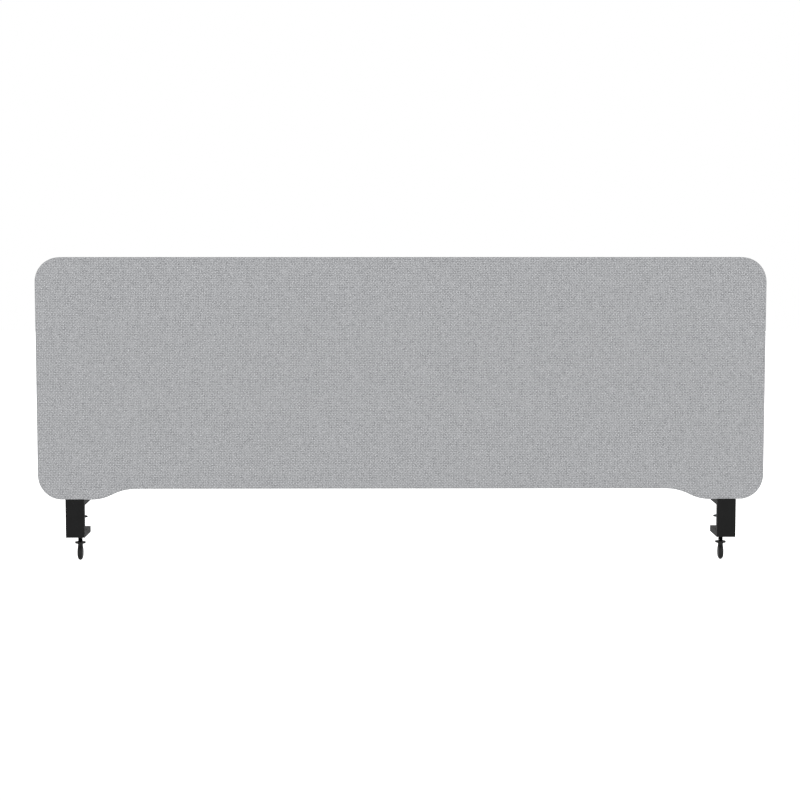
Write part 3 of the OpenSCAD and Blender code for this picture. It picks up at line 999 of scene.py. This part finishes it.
# depth, half width along Y, half thickness along X
PADDLE = [(3.0, 4.7, 4.5), (4.2, 4.5, 4.3), (6.0, 4.9, 4.35), (8.8, 6.6, 4.5),
          (12.0, 8.4, 4.7), (15.5, 9.7, 4.85), (19.0, 10.0, 4.9), (22.5, 9.7, 4.8),
          (25.5, 8.8, 4.4), (28.0, 7.1, 3.7), (29.9, 4.8, 2.6), (31.0, 2.2, 1.3)]
HANDLE_END = 31.2
PADDLE_SECTIONS = 40
SQUARENESS = 3.2                         # of a section: 2 is an ellipse, and more is flatter
ROUND_ABOVE, SQUARE_BELOW = 6, 12        # the depths between which sections turn square


def smooth_through(heights, values, where):
    """A curve through all values that doesn't overshoot much: cubic, with mean slopes."""
    slopes = np.gradient(values, heights)
    out = []
    for h in where:
        k = min(max(int(np.searchsorted(heights, h)) - 1, 0), len(heights) - 2)
        step = heights[k + 1] - heights[k]
        t = (h - heights[k]) / step
        out.append((2 * t ** 3 - 3 * t ** 2 + 1) * values[k]
                   + (t ** 3 - 2 * t ** 2 + t) * step * slopes[k]
                   + (3 * t ** 2 - 2 * t ** 3) * values[k + 1]
                   + (t ** 3 - t ** 2) * step * slopes[k + 1])
    return np.array(out)


def handle_sections():
    """Depth, half width and half thickness of every section, from the top down."""
    corner = [(FLANGE_EDGE_R * (1 - math.cos(a)), FLANGE_R - FLANGE_EDGE_R * (1 - math.sin(a)))
              for a in np.linspace(0, math.pi / 2, 4)]
    flange_low = FLANGE_TOP + FLANGE_T
    turned = [(FLANGE_TOP + d, r) for d, r in corner]
    turned += [(flange_low - d, r) for d, r in corner[::-1]]
    turned += [(flange_low + d, r) for d, r in NECK_FILLET]
    depth, wide, thick = np.array(PADDLE).T
    fine = np.linspace(depth[0], depth[-1], PADDLE_SECTIONS)
    return ([(d, r, r) for d, r in turned]
            + list(zip(fine, smooth_through(depth, wide, fine),
                       smooth_through(depth, thick, fine))))


print("handle sections:", len(handle_sections()))

# %% Loft the handles
def handle(side):
    """One moulded handle, in place of the CAD handle."""
    low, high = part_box(side + "_handle")
    axis = axis_of(low, high)
    sections = []
    for depth, wide, thick in handle_sections():
        share = min(max((depth - ROUND_ABOVE) / (SQUARE_BELOW - ROUND_ABOVE), 0), 1)
        sections.append(section(axis, thick * MM, wide * MM, high.z - depth * MM,
                                2 + (SQUARENESS - 2) * share))
    piece = lofted(side + "_handle_moulded", axis, high.z - FLANGE_TOP * MM, sections,
                   high.z - HANDLE_END * MM)
    shade_smooth(piece.data)
    piece.data.set_sharp_from_angle(angle=math.radians(50))
    piece.data.materials.append(plastic)
    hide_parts(side + "_handle")
    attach(piece, side + "_screw")
    print(piece.name, "faces:", len(piece.data.polygons))


for side in ("left", "right"):
    handle(side)

# %% [markdown]
# ## Floor, light and camera
#
# A pale floor lies far below the clamps, at the height of a room's floor under a
# desk. The background is white because the world says so to the camera and to
# glossy rays, never because of more light on the object. From below, the floor is
# clear, so that the object can be looked at from there too. The lamps are three wide
# soft panels, two in front and one behind, and the world fills in the rest, so that a
# grey cloth renders about as grey as its colour is written.

# %% Floor and world
FLOOR_Z = -0.74
FLOOR_SIZE = 40
GLOW, GLOW_REACH = (0.3, 1.0), (0.8, 4.0)      # from this to that, between these distances


def background_ray(tree):
    """One for rays that show the background: from the camera, off gloss and through glass."""
    ray = add_node(tree, "ShaderNodeLightPath").outputs
    seen = add_node(tree, MATH, {0: ray["Is Camera Ray"], 1: ray["Is Glossy Ray"]},
                    operation="MAXIMUM")
    return add_node(tree, MATH, {0: seen, 1: ray["Is Transmission Ray"]}, operation="MAXIMUM")


def pale_floor():
    """Painted floor that takes the shadow, turns white further out, and is clear below."""
    material, tree, shader = new_material("pale_floor_paint", 0.9, Specular_IOR_Level=0.1)
    shader.inputs["Base Color"].default_value = linear("#E6E6E6")
    place = add_node(tree, "ShaderNodeTexCoord").outputs["Object"]
    away = add_node(tree, "ShaderNodeVectorMath", {0: place}, operation="LENGTH").outputs["Value"]
    glow = add_node(tree, "ShaderNodeMapRange", {
        "Value": away, "From Min": GLOW_REACH[0], "From Max": GLOW_REACH[1],
        "To Min": GLOW[0], "To Max": GLOW[1]}, interpolation_type="SMOOTHSTEP")
    glow = add_node(tree, MATH, {0: background_ray(tree), 1: glow}, operation="MULTIPLY")
    shine = add_node(tree, "ShaderNodeEmission", {"Color": (1, 1, 1, 1), "Strength": glow})
    both = add_node(tree, "ShaderNodeAddShader", {0: shader, 1: shine})
    from_below = add_node(tree, "ShaderNodeNewGeometry").outputs["Backfacing"]
    clear = add_node(tree, "ShaderNodeBsdfTransparent")
    seen = add_node(tree, "ShaderNodeMixShader", {0: from_below, 1: both, 2: clear})
    tree.links.new(seen.outputs[0], tree.nodes["Material Output"].inputs["Surface"])
    return material


bpy.ops.mesh.primitive_plane_add(size=FLOOR_SIZE, location=(0, 0, FLOOR_Z))
floor = bpy.context.object
floor.name = "floor"
floor.data.materials.append(pale_floor())

world = bpy.data.worlds.new("studio")
bpy.context.scene.world = world
world.use_nodes = True
sky = world.node_tree
background = sky.nodes["Background"]
WORLD_FRONT, WORLD_BEHIND = 0.35, 0.9
SKY_TURN = 0.6                                 # where along Y the fill has its end values
direction = add_node(sky, "ShaderNodeTexCoord").outputs["Generated"]
direction = add_node(sky, "ShaderNodeSeparateXYZ", {0: direction}).outputs["Y"]
fill = add_node(sky, "ShaderNodeMapRange", {
    "Value": direction, "From Min": -SKY_TURN, "From Max": SKY_TURN,
    "To Min": WORLD_FRONT, "To Max": WORLD_BEHIND})
strength = add_node(sky, MIX, {0: background_ray(sky), 2: fill, 3: 1.0})
sky.links.new(strength.outputs[0], background.inputs["Strength"])
background.inputs["Color"].default_value = (1, 1, 1, 1)
print("floor at", FLOOR_Z, "m")

# %% Lamps
PANEL_SIZE = 2.4
LIT_POINT = Vector((0, 0, 0.15))


def soft_panel(name, power, place):
    """A square area lamp that looks at the middle of the object."""
    lamp = bpy.data.lights.new(name, "AREA")
    lamp.shape, lamp.size, lamp.energy = "SQUARE", PANEL_SIZE, power
    holder = add_object(name, lamp)
    holder.location = place
    holder.rotation_euler = (LIT_POINT - Vector(place)).to_track_quat("-Z", "Y").to_euler()


soft_panel("front_left_panel", 48, (-2.2, -3.2, 1.7))
soft_panel("front_right_panel", 48, (2.2, -3.2, 1.7))
soft_panel("rear_panel", 40, (0.0, 3.4, 2.8))
print("lamps:", [lamp.name for lamp in bpy.data.lights])

# %% Camera
EYE = Vector((-27.4, -3114.0, 449.2)) * MM
LOOK_DOWN, LOOK_RIGHT = math.radians(5.030), math.radians(0.471)
camera_data = bpy.data.cameras.new("camera")
camera_data.lens = 85
camera_data.sensor_width = 36
camera = add_object("camera", camera_data)
camera.location = EYE
camera.rotation_euler = (math.radians(90) - LOOK_DOWN, 0, -LOOK_RIGHT)
bpy.context.scene.camera = camera
bpy.context.scene.view_settings.view_transform = "Standard"
print("camera at", [round(c, 3) for c in EYE])
